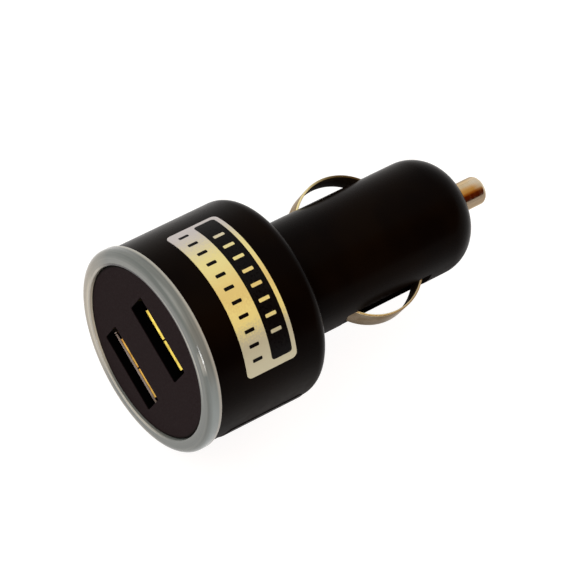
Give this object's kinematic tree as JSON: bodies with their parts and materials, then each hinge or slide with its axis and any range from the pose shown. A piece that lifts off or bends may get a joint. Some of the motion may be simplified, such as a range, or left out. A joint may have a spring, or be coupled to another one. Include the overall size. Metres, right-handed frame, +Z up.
{
  "type": "car usb charger plug",
  "caption": "Vehicle socket plug with a wide round head that holds stacked USB ports inside a light ring, and a slim barrel with bowed side contacts and a sprung tip.",
  "frame": {"origin": "on the plug's axis, at the shoulder where the barrel leaves the head", "axes": "+Y along the plug's axis towards the tip, +X through the side contacts, +Z up through the badge label"},
  "size_m": [0.0366, 0.0725, 0.0366],
  "materials": {
    "gloss_black": "glossy moulded",
    "milky_ring": "milky translucent",
    "matte_plate": "fine matte",
    "foil": "satin foil",
    "black_sticker": "semi-gloss film",
    "leaf_metal": "dull nickel plate",
    "pin_metal": "polished",
    "spring_steel": "drawn wire",
    "board": "solder mask",
    "shell_metal": "plated sheet",
    "port_plastic": "moulded",
    "port_contact": "plated",
    "can_metal": "drawn can",
    "ferrite": "sintered",
    "winding": "enamelled wire",
    "chip_plastic": "moulded",
    "lamp_plastic": "moulded"
  },
  "bodies": {
    "plug_body": {"housing": "gloss_black", "light_ring": "milky_ring", "front_cap": "matte_plate", "badge_label": "foil", "side_label": "black_sticker", "tip_spring": "spring_steel", "tip_terminal": "pin_metal", "circuit_board": "board", "usb_shell_upper": "shell_metal", "usb_shell_lower": "shell_metal", "usb_insulator_upper": "port_plastic", "usb_insulator_lower": "port_plastic", "usb_contacts_upper": "port_contact", "usb_contacts_lower": "port_contact", "input_capacitor": "can_metal", "output_capacitor": "can_metal", "choke_core": "ferrite", "choke_winding": "winding", "converter_chip": "chip_plastic", "catch_diode": "chip_plastic", "indicator_leds": "lamp_plastic", "chip_resistors": "chip_plastic"},
    "tip_contact": {"tip_contact": "pin_metal"},
    "side_contact_left": {"side_contact_left": "leaf_metal"},
    "side_contact_right": {"side_contact_right": "leaf_metal"}
  },
  "joints": [
    {"name": "tip_slide", "type": "slide", "parent": "plug_body", "child": "tip_contact", "axis": [0, -1, 0], "range_m": [0, 0.003], "stiffness_N_per_m": 2000, "springref_m": -0.001, "deforming": ["tip_spring"]},
    {"name": "right_contact_slide", "type": "slide", "parent": "plug_body", "child": "side_contact_right", "axis": [-1, 0, 0], "range_m": [0, 0.0025], "stiffness_N_per_m": 1500, "springref_m": -0.0008},
    {"name": "left_contact_slide", "type": "slide", "parent": "plug_body", "child": "side_contact_left", "axis": [1, 0, 0], "range_m": [0, 0.0025], "stiffness_N_per_m": 1500, "springref_m": -0.0008}
  ]
}
